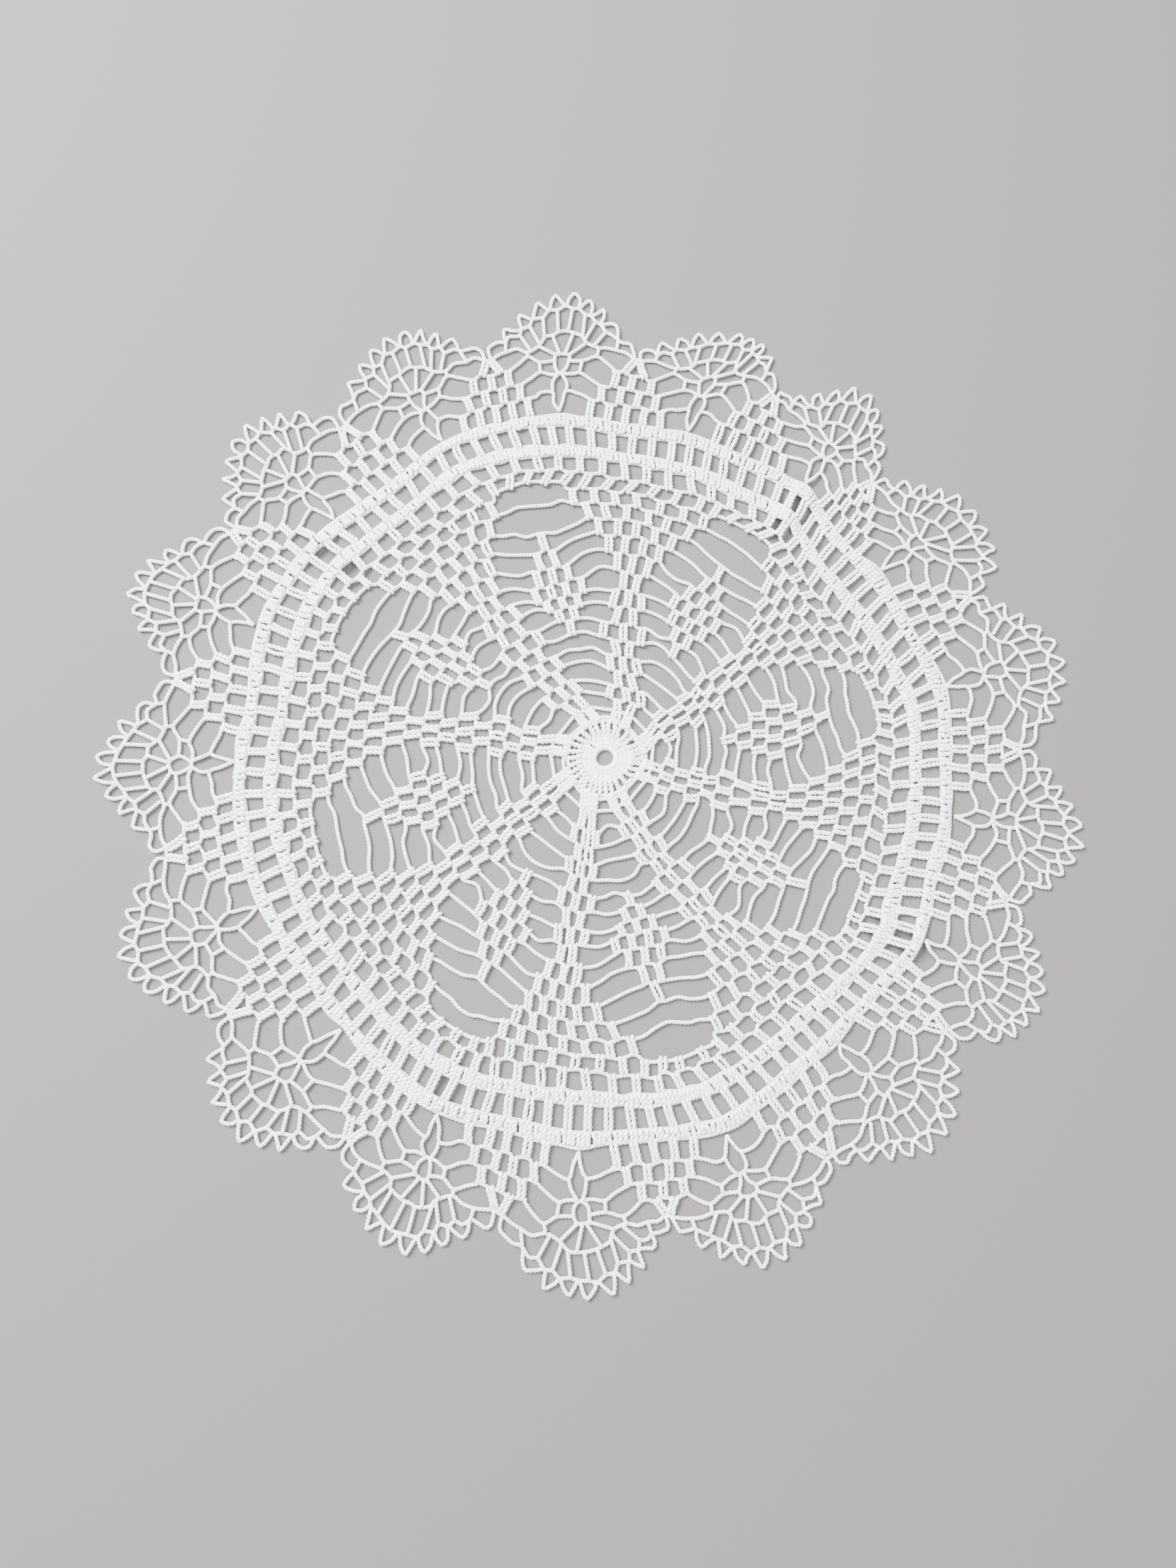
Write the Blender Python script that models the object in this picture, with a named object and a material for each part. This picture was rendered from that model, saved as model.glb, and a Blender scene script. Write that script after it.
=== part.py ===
"""Crocheted cotton doily, round, with seventeen fans round its edge.

One piece of openwork, worked round and round from the centre and lying flat. It is built as one
sheet. Its outline and its larger gaps are charted evenly, as the pattern is worked, and are then
moved to where the pulled and puckered cloth really lies. Places in the plane are complex numbers
in millimetres from the middle ring, and angles are in degrees anticlockwise from +X.
"""
import bmesh
import bpy
import numpy as np

MM = 0.001
FULL_TURN = 360.0

# Sheet and thread, in millimetres
SHEET_THICK = 1.5
WELD = 0.001                # corners nearer than this are one
CORD_HALF = 0.75            # half the width of one crocheted chain
PAIR_HALF = 1.6             # half the width of two stitches side by side
CENTRE_HOLE = 2.8           # radius of the ring at the middle
CENTRE_SIDES = 10
HOLE_AT = 3.994 - 0.701j    # the middle ring, from the middle of the outline's box

# Wheel: eight spokes of paired stitches, and a diamond of pairs between each two
SPOKES = 8
SECTOR = FULL_TURN / SPOKES
FIRST_SPOKE = 127.5
# One row of pairs for each line, with the ring of chain on its outer side:
# name: (ring radius on a spoke, ring radius between spokes, pairs on a spoke, their pitch,
#        pairs on a diamond, their pitch)
ROWS = {
    "Q": (21.5, 21.5, 2, 4.4, 0, 5.0),
    "P": (26.3, 27.0, 3, 4.4, 0, 5.0),
    "O": (31.2, 32.2, 2, 5.2, 0, 5.0),
    "N": (36.0, 37.3, 3, 4.8, 0, 5.0),
    "M": (40.9, 42.4, 2, 5.4, 0, 5.0),
    "L": (46.3, 47.5, 3, 5.4, 1, 5.4),
    "K": (51.8, 52.5, 2, 4.8, 2, 5.4),
    "J": (57.3, 57.4, 3, 4.4, 3, 5.4),
    "I": (62.9, 62.5, 2, 4.8, 4, 5.4),
    "H": (68.6, 67.8, 3, 5.2, 3, 5.4),
    "G": (74.2, 73.2, 4, 5.5, 2, 5.0),
    "F": (79.7, 78.6, 5, 5.8, 1, 5.0),
    "E": (85.1, 87.4, 6, 6.5, 0, 5.0),
    "D": (90.3, 93.2, 7, 6.9, 0, 5.0),
}
ROW_BELOW = dict(zip(list(ROWS)[1:], ROWS))
ROWS_CUT = "MNOHGFED"       # rows whose gaps between spoke and diamond are cut through
RING_POINTS = 4             # corners along each ring of a gap

# Ladder of pairs between the two solid bands
LADDER_PAIRS = 110
LADDER_FIRST = 178.8
LADDER_IN, LADDER_OUT = 105.9, 112.1
# how far the ladder has slipped round, at every tenth pair, in degrees
LADDER_SLIP = (-0.5, -1.0, -2.3, -4.4, -3.1, -4.1, -3.9, -2.0, -1.3, -0.8, -1.2, -0.5)
LADDER_STEP = 10
LADDER_SHUT = 10            # the one gap that a pucker closes, which isn't cut

# Fans, standing on the outer band
FANS = 17
FAN_PITCH = FULL_TURN / FANS
FIRST_FAN = 180.0
BAND_EDGE = 116.3
# Gaps at one side of a fan: (degrees from the fan's middle, millimetres above the band)
FAN_GAPS = (
    ((4.6, -0.6), (4.3, 4.8), (3.2, 6.6), (1.33, 6.4), (0.2, -0.4)),
    ((5.9, 5.0), (5.75, 9.9), (5.1, 12.6), (3.19, 13.8), (1.07, 12.5), (1.33, 6.4), (3.2, 6.6)),
    ((7.1, 9.9), (7.2, 15.2), (5.57, 19.7), (3.11, 17.5), (3.19, 13.8), (5.1, 12.6)),
)
# Pointed loops at one side of a fan, from its middle outwards, and the joints between them
TIPS = ((1.35, 43.3), (3.45, 40.9), (5.6, 37.6), (7.6, 33.1), (9.9, 27.6))
JOINTS = ((0.0, 38.8), (1.99, 37.0), (3.85, 34.4), (5.5, 31.2), (8.0, 26.4))
DIP = 21.9
# Charted places of a fan's foot, eye, crown, left shoulder, right shoulder and right dip
FAN_MARKS = ((0.0, 0.0), (0.0, 21.6), (0.0, 42.6), (-7.6, 32.4), (7.6, 32.4), (FAN_PITCH / 2, 21.2))

# Where the cloth really lies. Each line is one fan, clockwise. Columns are angle and radius of:
# foot | eye | crown | left shoulder | right shoulder | dip at its right |
# and then the ladder's radius under the foot and under the dip.
FANS_LAID = (
    (180.7, 117.4, 181.0, 137.0, 181.2, 159.0, 188.6, 147.8, 173.6, 148.5, 169.3, 138.4, 109.6, 108.4),
    (158.5, 121.1, 158.7, 141.1, 159.3, 162.4, 165.9, 149.4, 151.8, 153.3, 147.8, 142.6, 111.6, 113.0),
    (137.7, 119.4, 137.6, 140.9, 137.6, 162.7, 145.0, 151.7, 130.6, 155.0, 127.5, 141.7, 111.1, 109.8),
    (116.5, 121.0, 116.6, 140.9, 115.5, 162.0, 123.4, 153.8, 109.1, 153.4, 105.5, 142.9, 113.6, 112.9),
    (96.9, 120.1, 95.3, 141.2, 94.2, 162.6, 102.4, 152.3, 88.0, 151.2, 84.9, 138.5, 111.1, 107.9),
    (75.5, 116.6, 74.4, 137.3, 73.4, 154.5, 81.8, 145.7, 67.3, 150.9, 64.9, 138.0, 107.5, 106.7),
    (54.0, 116.1, 54.2, 133.5, 55.1, 155.1, 61.7, 142.2, 48.5, 143.3, 46.0, 130.5, 107.7, 102.1),
    (34.7, 112.8, 35.0, 130.0, 35.5, 149.6, 42.9, 138.7, 26.6, 145.0, 24.2, 132.4, 102.0, 103.3),
    (12.3, 114.0, 13.1, 134.6, 13.4, 152.9, 21.3, 141.3, 5.2, 144.9, 1.3, 133.6, 106.5, 104.8),
    (-9.7, 112.7, -9.0, 132.9, -9.4, 153.0, -1.7, 142.6, -16.5, 145.4, -20.0, 134.2, 104.9, 104.7),
    (-30.6, 115.0, -30.4, 135.0, -29.6, 153.8, -23.0, 144.2, -36.6, 148.7, -39.3, 134.5, 108.1, 106.5),
    (-51.6, 114.2, -50.2, 134.2, -49.9, 154.2, -42.2, 144.8, -57.6, 145.9, -61.4, 138.8, 105.9, 108.4),
    (-72.9, 120.9, -72.3, 139.8, -72.2, 159.6, -64.9, 149.2, -79.4, 149.2, -82.6, 139.4, 112.2, 111.0),
    (-94.3, 120.9, -92.9, 140.9, -90.8, 160.1, -84.8, 148.1, -99.0, 155.2, -103.4, 140.4, 110.3, 110.8),
    (-114.8, 120.8, -113.5, 139.1, -113.2, 159.6, -106.5, 150.0, -121.0, 150.4, -123.7, 139.3, 112.4, 111.4),
    (-133.9, 116.9, -135.2, 139.7, -134.7, 158.9, -127.3, 149.1, -142.3, 150.8, -145.4, 138.2, 109.1, 108.2),
    (-156.3, 117.6, -155.8, 138.7, -156.2, 159.9, -148.5, 148.7, -163.9, 150.3, -167.5, 138.8, 109.8, 110.4),
)
# The outermost pairs of a row on each spoke. Each line is one spoke, clockwise. Columns are
# left angle, left radius, right angle, right radius of the pair's middle.
SPOKES_LAID = {
    "D": ((141.0, 90.4, 113.2, 91.0), (96.2, 89.0, 67.2, 86.3), (49.8, 85.0, 20.8, 84.0),
          (3.7, 84.0, -23.5, 84.0), (-40.2, 87.0, -68.4, 89.5), (-85.1, 89.8, -110.8, 89.4),
          (-127.4, 89.4, -155.1, 89.8), (-172.9, 89.4, -201.4, 89.8)),
    "G": ((133.4, 73.6, 120.2, 73.6), (88.4, 72.2, 74.7, 70.7), (42.3, 66.9, 28.9, 67.3),
          (-6.0, 68.2, -18.9, 67.5), (-50.0, 70.2, -62.6, 70.7), (-95.2, 74.4, -106.5, 73.6),
          (-136.7, 73.2, -149.3, 72.0), (-181.8, 73.2, -195.1, 72.0)),
    "J": ((131.9, 55.8, 120.8, 56.0), (86.2, 53.4, 76.4, 53.0), (39.5, 51.1, 29.7, 50.7),
          (-10.1, 50.7, -19.4, 50.7), (-54.1, 54.0, -63.4, 54.8), (-96.8, 56.9, -105.3, 56.9),
          (-139.2, 55.2, -148.5, 55.7), (-185.4, 55.2, -194.3, 55.7)),
    "L": ((135.1, 44.4, 117.8, 44.4), (90.0, 42.3, 72.6, 41.9), (40.3, 40.2, 26.1, 40.2),
          (-7.2, 39.4, -23.4, 39.4), (-53.3, 42.3, -67.4, 44.0), (-95.6, 46.5, -108.2, 46.1),
          (-136.7, 44.8, -151.3, 44.4), (-184.2, 44.4, -197.6, 44.8)),
    "N": ((133.8, 34.9, 115.9, 34.3), (86.0, 31.5, 70.6, 31.5), (38.2, 32.3, 22.1, 32.7),
          (-8.4, 29.8, -24.6, 30.2), (-56.9, 32.3, -70.7, 33.2), (-96.0, 36.1, -108.6, 35.7),
          (-138.7, 34.8, -153.3, 34.8), (-183.0, 34.4, -201.6, 34.8)),
    "P": ((133.5, 24.3, 111.5, 24.8), (84.5, 21.9, 57.8, 22.4), (40.3, 22.3, 19.2, 22.7),
          (-4.6, 20.5, -30.9, 20.5), (-57.7, 22.8, -75.9, 24.0), (-96.0, 26.1, -112.2, 26.1),
          (-135.5, 24.0, -156.6, 25.2), (-181.4, 24.4, -200.8, 24.8)),
}
# Between spokes. Each line is one sector, clockwise from the first spoke. Columns are angle and
# radius of: arch | chain under the arch | diamond's tip | its left corner | right corner | foot.
SECTORS_LAID = (
    (104.5, 95.7, 105.0, 88.3, 105.5, 74.5, 112.1, 57.5, 97.0, 58.0, 103.4, 44.6),
    (58.0, 90.3, 59.5, 84.6, 58.0, 72.1, 66.4, 57.1, 50.0, 57.1, 56.7, 42.1),
    (10.4, 88.5, 12.0, 81.5, 11.1, 71.2, 18.1, 56.6, 1.0, 54.4, 8.8, 40.3),
    (-33.8, 90.7, -31.5, 85.6, -33.6, 71.6, -28.8, 57.1, -43.2, 56.2, -37.5, 43.0),
    (-77.8, 94.4, -76.0, 87.3, -78.0, 74.4, -71.9, 58.5, -86.9, 58.9, -80.9, 45.3),
    (-118.4, 94.8, -118.7, 89.9, -119.3, 76.2, -114.3, 60.7, -129.6, 61.2, -122.6, 45.3),
    (-164.6, 93.0, -164.0, 87.6, -165.7, 74.4, -158.8, 58.5, -174.1, 58.9, -167.1, 43.9),
    (-210.6, 95.7, -209.5, 88.2, -211.7, 76.6, -204.9, 62.5, -219.6, 59.8, -212.4, 45.3),
)
STILL_RADIUS = 11.0         # inside this the cloth lies as charted
STILL_PLACES = 8

# Puckers, where the cloth stands up off the table in a low radial ridge
PUCKERS = (
    # angle, from radius, to radius, height, half width
    (142.6, 100.0, 122.0, 2.2, 4.0),
    (53.0, 94.0, 118.0, 2.0, 4.5),
    (-32.0, 97.0, 118.0, 2.2, 4.5),
    (-116.0, 104.0, 121.0, 1.2, 4.0),
)
PUCKER_END = 1.5            # over this length a ridge fades out at either end


def place(angle, radius):
    """Return the complex place at an angle and a radius."""
    return radius * np.exp(1j * np.radians(angle))


def spread(count, pitch, radius):
    """Return angles, clockwise, of places a pitch apart about a middle."""
    steps = np.arange(count) - (count - 1) / 2
    return -np.degrees(steps * pitch / radius)


def spoke_angle(spoke):
    """Return the angle of a spoke's middle, counted clockwise."""
    return FIRST_SPOKE - SECTOR * spoke


def sector_angle(sector):
    """Return the angle of the middle between a spoke and the next."""
    return spoke_angle(sector) - SECTOR / 2


def ring_places(name, from_angle, to_angle, count=RING_POINTS):
    """Return places along a row's outer ring, which runs from spoke level to sector level and back."""
    on_spoke, between = ROWS[name][:2]
    angles = np.linspace(from_angle, to_angle, count)
    share = 0.5 - 0.5 * np.cos(np.radians(SPOKES * (angles - FIRST_SPOKE)))
    return place(angles, on_spoke + (between - on_spoke) * share)


def spoke_pairs(name, spoke):
    """Return foot and top angles of a row's pairs on a spoke."""
    radius, _, count, pitch = ROWS[name][:4]
    low_radius, _, _, low_pitch = ROWS[ROW_BELOW[name]][:4]
    middle = spoke_angle(spoke)
    return middle + spread(count, low_pitch, low_radius), middle + spread(count, pitch, radius)


def diamond_pairs(name, sector):
    """Return foot and top angles of a row's pairs on the diamond of a sector."""
    _, radius, _, _, count, pitch = ROWS[name]
    _, low_radius, _, _, _, low_pitch = ROWS[ROW_BELOW[name]]
    middle = sector_angle(sector)
    return middle + spread(count, low_pitch, low_radius), middle + spread(count, pitch, radius)


def ladder_angles():
    """Return the angles of the ladder's pairs, slipped round as the bands have slipped."""
    numbers = np.arange(LADDER_PAIRS + 1)
    slip = np.interp(numbers, np.arange(len(LADDER_SLIP)) * LADDER_STEP, LADDER_SLIP)
    return LADDER_FIRST - numbers * FULL_TURN / LADDER_PAIRS + slip


def charted_and_laid():
    """Return matching arrays of charted places and of the places where they really lie."""
    charted, laid = [], []

    def match(even, angle, radius):
        charted.append(even)
        laid.append(place(angle, radius))

    feet = [fan[0] for fan in FANS_LAID]
    next_feet = feet[1:] + [feet[0] - FULL_TURN]
    ladder_middle = (LADDER_IN + LADDER_OUT) / 2
    for fan, row in enumerate(FANS_LAID):
        middle = FIRST_FAN - FAN_PITCH * fan
        for number, (turn, height) in enumerate(FAN_MARKS):
            match(place(middle - turn, BAND_EDGE + height), row[2 * number], row[2 * number + 1])
        match(place(middle, ladder_middle), feet[fan], row[-2])
        match(place(middle - FAN_PITCH / 2, ladder_middle), (feet[fan] + next_feet[fan]) / 2, row[-1])
    for name, spokes in SPOKES_LAID.items():
        radius, low_radius = ROWS[name][0], ROWS[ROW_BELOW[name]][0]
        for spoke, row in enumerate(spokes):
            foot, top = spoke_pairs(name, spoke)
            for side in (0, -1):
                even = (place(foot[side], low_radius) + place(top[side], radius)) / 2
                match(even, row[2 * side], row[2 * side + 1])
    corners = (("F", 0, 4), ("I", 0, 6), ("I", -1, 8), ("L", 0, 10))
    for sector, row in enumerate(SECTORS_LAID):
        match(place(sector_angle(sector), ROWS["D"][1]), row[0], row[1])
        match(place(sector_angle(sector), ROWS["E"][1]), row[2], row[3])
        for name, side, column in corners:
            foot, top = diamond_pairs(name, sector)
            radius, low_radius = ROWS[name][1], ROWS[ROW_BELOW[name]][1]
            even = (place(foot[side], low_radius) + place(top[side], radius)) / 2
            match(even, row[column], row[column + 1])
    for angle in np.arange(STILL_PLACES) * FULL_TURN / STILL_PLACES:
        match(place(angle, STILL_RADIUS), angle, STILL_RADIUS)
    return np.array(charted), np.array(laid)


def plate_kernel(distance):
    """Return the bending term of a thin plate, which is nought at no distance."""
    return distance ** 2 * np.log(np.maximum(distance, 1e-9))


def laying():
    """Return a function that moves charted places as a plate bends to meet the laid ones."""
    charted, laid = charted_and_laid()
    count = len(charted)
    flat = np.stack([np.ones(count), charted.real, charted.imag], axis=1)
    system = np.zeros((count + 3, count + 3))
    system[:count, :count] = plate_kernel(np.abs(charted[:, None] - charted[None, :]))
    system[:count, count:] = flat
    system[count:, :count] = flat.T
    weights = np.linalg.solve(system, np.concatenate([laid - charted, np.zeros(3)]))

    def lay(places):
        bend = plate_kernel(np.abs(places[:, None] - charted[None, :])) @ weights[:count]
        tilt = weights[count] + weights[count + 1] * places.real + weights[count + 2] * places.imag
        return places + bend + tilt + HOLE_AT

    return lay


def inset(corners, margin):
    """Return a closed outline with each side moved inwards by the margin."""
    sides = np.roll(corners, -1) - corners
    twice_area = np.sum((np.conj(corners) * np.roll(corners, -1)).imag)
    inward = 1j * np.sign(twice_area) * sides / np.abs(sides)
    before = np.roll(inward, 1)
    return corners + margin * (before + inward) / (1 + (np.conj(before) * inward).real)


def row_gaps(name, sector):
    """Return the gaps of a row between one spoke and the next, split where a diamond stands."""
    left_foot, left_top = spoke_pairs(name, sector)
    right_foot, right_top = spoke_pairs(name, sector + 1)
    bounds = [(left_foot[-1], left_top[-1])]
    if ROWS[name][4]:
        foot, top = diamond_pairs(name, sector)
        bounds += [(foot[0], top[0]), (foot[-1], top[-1])]
    bounds.append((right_foot[0], right_top[0]))
    extra = np.degrees((PAIR_HALF - CORD_HALF) / ROWS[name][0])
    for left, right in zip(bounds[::2], bounds[1::2]):
        low = ring_places(ROW_BELOW[name], left[0] - extra, right[0] + extra)
        high = ring_places(name, right[1] + extra, left[1] - extra)
        yield inset(np.concatenate([low, high]), CORD_HALF)


def ladder_gaps():
    """Return the oblong gaps between the ladder's pairs."""
    angles = ladder_angles()
    turn = np.degrees(PAIR_HALF / LADDER_IN)
    for number in range(LADDER_PAIRS):
        if number != LADDER_SHUT:
            left, right = angles[number] - turn, angles[number + 1] + turn
            yield place(
                np.array([left, right, right, left]),
                np.array([LADDER_IN, LADDER_IN, LADDER_OUT, LADDER_OUT]),
            )


def fan_gaps(fan):
    """Return the gaps between a fan's chains, at both of its sides."""
    middle = FIRST_FAN - FAN_PITCH * fan
    for side in (1, -1):
        for gap in FAN_GAPS:
            turn, height = np.array(gap).T
            yield inset(place(middle - side * turn, BAND_EDGE + height), CORD_HALF)


def edge():
    """Return the outline: the pointed loops of each fan, and the dip to the next fan."""
    side = [JOINTS[0]] + [spot for pair in zip(TIPS, JOINTS[1:]) for spot in pair] + [TIPS[-1]]
    whole = [(-turn, height) for turn, height in side[:0:-1]] + side + [(FAN_PITCH / 2, DIP)]
    turn, height = np.array(whole).T
    middles = FIRST_FAN - FAN_PITCH * np.arange(FANS)
    return np.concatenate([place(middle - turn, BAND_EDGE + height) for middle in middles])


def all_gaps():
    """Return every gap that is cut through the sheet, on the even chart."""
    gaps = [place(np.arange(CENTRE_SIDES) * FULL_TURN / CENTRE_SIDES, CENTRE_HOLE)]
    gaps += ladder_gaps()
    for sector in range(SPOKES):
        for name in ROWS_CUT:
            gaps += row_gaps(name, sector)
    for fan in range(FANS):
        gaps += fan_gaps(fan)
    return gaps


def lift(places):
    """Return how high the puckers hold the cloth off the table."""
    height = np.zeros(len(places))
    for angle, start, end, top, half_width in PUCKERS:
        turned = (places - HOLE_AT) * place(-angle, 1.0)
        across = np.exp(-(turned.imag / half_width) ** 2)
        begun = 1 / (1 + np.exp((start - turned.real) / PUCKER_END))
        going_on = 1 / (1 + np.exp((turned.real - end) / PUCKER_END))
        height += top * across * begun * going_on
    return height


def flat_sheet(name, outlines):
    """Return a curve object, in millimetres, filled between outlines of straight runs."""
    curve = bpy.data.curves.new(name, "CURVE")
    curve.dimensions = "2D"
    curve.fill_mode = "BOTH"
    curve.extrude = SHEET_THICK / 2
    for outline in outlines:
        spline = curve.splines.new("POLY")
        spline.points.add(len(outline) - 1)
        spots = np.zeros((len(outline), 4))
        spots[:, 0], spots[:, 1], spots[:, 3] = outline.real, outline.imag, 1.0
        spline.points.foreach_set("co", spots.ravel())
        spline.use_cyclic_u = True
    return bpy.data.objects.new(name, curve)


def solid_from(curve_object, name, collection):
    """Return a mesh object made from a filled curve, welded, puckered and lying on Z = 0."""
    collection.objects.link(curve_object)
    bpy.context.view_layer.update()
    graph = bpy.context.evaluated_depsgraph_get()
    mesh = bpy.data.meshes.new_from_object(curve_object.evaluated_get(graph))
    mesh.name = name
    bpy.data.objects.remove(curve_object)
    body = bmesh.new()
    body.from_mesh(mesh)
    bmesh.ops.remove_doubles(body, verts=body.verts, dist=WELD)
    body.normal_update()
    for facing in (1, -1):
        cap = {face for face in body.faces if face.normal.z * facing > 0.5}
        inside = [edge for edge in body.edges if cap.issuperset(edge.link_faces)]
        bmesh.ops.beautify_fill(body, faces=list(cap), edges=inside, method="AREA")
    corners = np.array([corner.co for corner in body.verts])
    corners[:, 2] += SHEET_THICK / 2 + lift(corners[:, 0] + 1j * corners[:, 1])
    for corner, spot in zip(body.verts, corners * MM):
        corner.co = spot
    bmesh.ops.recalc_face_normals(body, faces=body.faces)
    body.to_mesh(mesh)
    body.free()
    sheet = bpy.data.objects.new(name, mesh)
    collection.objects.link(sheet)
    return sheet


def cotton():
    """Return the white crochet cotton."""
    material = bpy.data.materials.new("white_cotton")
    material.use_nodes = True
    shader = material.node_tree.nodes["Principled BSDF"]
    shader.inputs["Base Color"].default_value = (0.86, 0.88, 0.89, 1.0)
    shader.inputs["Roughness"].default_value = 0.85
    shader.inputs["Metallic"].default_value = 0.0
    return material


for old in list(bpy.data.objects):
    bpy.data.objects.remove(old)

doily_parts = bpy.data.collections.new("lace_doily")
bpy.context.scene.collection.children.link(doily_parts)

lay_out = laying()
outlines_laid = [lay_out(outline) for outline in [edge()] + all_gaps()]
doily = solid_from(flat_sheet("doily_pattern", outlines_laid), "lace_doily", doily_parts)
doily.data.materials.append(cotton())
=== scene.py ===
import bpy
import numpy as np
from mathutils import Matrix


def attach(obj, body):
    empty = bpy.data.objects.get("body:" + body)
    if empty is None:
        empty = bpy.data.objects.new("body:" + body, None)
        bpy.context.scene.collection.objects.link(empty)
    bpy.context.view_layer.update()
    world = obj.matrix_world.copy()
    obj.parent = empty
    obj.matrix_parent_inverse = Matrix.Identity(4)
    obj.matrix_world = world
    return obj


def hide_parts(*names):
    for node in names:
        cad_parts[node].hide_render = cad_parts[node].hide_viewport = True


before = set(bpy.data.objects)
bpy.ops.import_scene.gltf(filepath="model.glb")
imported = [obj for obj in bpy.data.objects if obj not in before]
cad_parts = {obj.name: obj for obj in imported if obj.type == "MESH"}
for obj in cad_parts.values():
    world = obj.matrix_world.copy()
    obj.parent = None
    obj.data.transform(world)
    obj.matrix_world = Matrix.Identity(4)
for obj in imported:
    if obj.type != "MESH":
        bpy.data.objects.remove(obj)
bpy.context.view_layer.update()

# -------------------------------------------------------------------------------------------------
# The middle. A tight ring of thread with three rounds of tall stitches worked into it, in white
# crochet cotton. The first round is solid, and the next two open into slits as the rounds widen.
# The whole cloth is charted evenly here, as it was worked, and laid as its own pull leaves it.
# -------------------------------------------------------------------------------------------------
MM = 0.001
FULL_TURN = 360.0
SPOKES = 8
SECTOR = FULL_TURN / SPOKES
FIRST_SPOKE = 127.5         # degrees, counter-clockwise from the right
RING_AT = 3.994 - 0.701j    # the middle ring, in millimetres from the frame's origin

# Rounds of the wheel, outwards. name: (ring radius on a spoke, ring radius between spokes,
# pairs of stitches on a spoke, their pitch, pairs on a diamond, their pitch)
ROUNDS = {
    "R": (16.5, 16.5, 2, 3.6, 0, 5.0),
    "Q": (21.5, 21.5, 2, 4.4, 0, 5.0),
    "P": (26.3, 27.0, 3, 4.4, 0, 5.0),
    "O": (31.2, 32.2, 2, 5.2, 0, 5.0),
    "N": (36.0, 37.3, 3, 4.8, 0, 5.0),
    "M": (40.9, 42.4, 2, 5.4, 0, 5.0),
    "L": (46.3, 47.5, 3, 5.4, 1, 5.4),
    "K": (51.8, 52.5, 2, 4.8, 2, 5.4),
    "J": (57.3, 57.4, 3, 4.4, 3, 5.4),
    "I": (62.9, 62.5, 2, 4.8, 4, 5.4),
    "H": (68.6, 67.8, 3, 5.2, 3, 5.4),
    "G": (74.2, 73.2, 4, 5.5, 2, 5.0),
    "F": (79.7, 78.6, 5, 5.8, 1, 5.0),
    "E": (85.1, 87.4, 6, 6.5, 0, 5.0),
    "D": (90.3, 93.2, 7, 6.9, 0, 5.0),
}
ROUND_BELOW = dict(zip(list(ROUNDS)[1:], ROUNDS))
ROUND_ABOVE = dict(zip(ROUNDS, list(ROUNDS)[1:]))

# Fans round the edge, on the even chart
FANS = 17
FAN_PITCH = FULL_TURN / FANS
FIRST_FAN = 180.0
BAND_EDGE = 116.3           # radius that the fans' heights are counted from
# Charted places of a fan's foot, eye, crown, left shoulder, right shoulder and right dip:
# degrees from the fan's middle, millimetres above the band
FAN_MARKS = (
    (0.0, 0.0), (0.0, 21.6), (0.0, 42.6), (-7.6, 32.4), (7.6, 32.4), (FAN_PITCH / 2, 21.2),
)
LADDER_MIDDLE = 109.0

# Where the cloth really lies. Each line is one fan, clockwise. Columns are angle and radius of:
# foot | eye | crown | left shoulder | right shoulder | dip at its right
FANS_LAID = (
    (180.7, 117.4, 181.0, 137.0, 181.2, 159.0, 188.6, 147.8, 173.6, 148.5, 169.3, 138.4),
    (158.5, 121.1, 158.7, 141.1, 159.3, 162.4, 165.9, 149.4, 151.8, 153.3, 147.8, 142.6),
    (137.7, 119.4, 137.6, 140.9, 137.6, 162.7, 145.0, 151.7, 130.6, 155.0, 127.5, 141.7),
    (116.5, 121.0, 116.6, 140.9, 115.5, 162.0, 123.4, 153.8, 109.1, 153.4, 105.5, 142.9),
    (96.9, 120.1, 95.3, 141.2, 94.2, 162.6, 102.4, 152.3, 88.0, 151.2, 84.9, 138.5),
    (75.5, 116.6, 74.4, 137.3, 73.4, 154.5, 81.8, 145.7, 67.3, 150.9, 64.9, 138.0),
    (54.0, 116.1, 54.2, 133.5, 55.1, 155.1, 61.7, 142.2, 48.5, 143.3, 46.0, 130.5),
    (34.7, 112.8, 35.0, 130.0, 35.5, 149.6, 42.9, 138.7, 26.6, 145.0, 24.2, 132.4),
    (12.3, 114.0, 13.1, 134.6, 13.4, 152.9, 21.3, 141.3, 5.2, 144.9, 1.3, 133.6),
    (-9.7, 112.7, -9.0, 132.9, -9.4, 153.0, -1.7, 142.6, -16.5, 145.4, -20.0, 134.2),
    (-30.6, 115.0, -30.4, 135.0, -29.6, 153.8, -23.0, 144.2, -36.6, 148.7, -39.3, 134.5),
    (-51.6, 114.2, -50.2, 134.2, -49.9, 154.2, -42.2, 144.8, -57.6, 145.9, -61.4, 138.8),
    (-72.9, 120.9, -72.3, 139.8, -72.2, 159.6, -64.9, 149.2, -79.4, 149.2, -82.6, 139.4),
    (-94.3, 120.9, -92.9, 140.9, -90.8, 160.1, -84.8, 148.1, -99.0, 155.2, -103.4, 140.4),
    (-114.8, 120.8, -113.5, 139.1, -113.2, 159.6, -106.5, 150.0, -121.0, 150.4, -123.7, 139.3),
    (-133.9, 116.9, -135.2, 139.7, -134.7, 158.9, -127.3, 149.1, -142.3, 150.8, -145.4, 138.2),
    (-156.3, 117.6, -155.8, 138.7, -156.2, 159.9, -148.5, 148.7, -163.9, 150.3, -167.5, 138.8),
)
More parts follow.
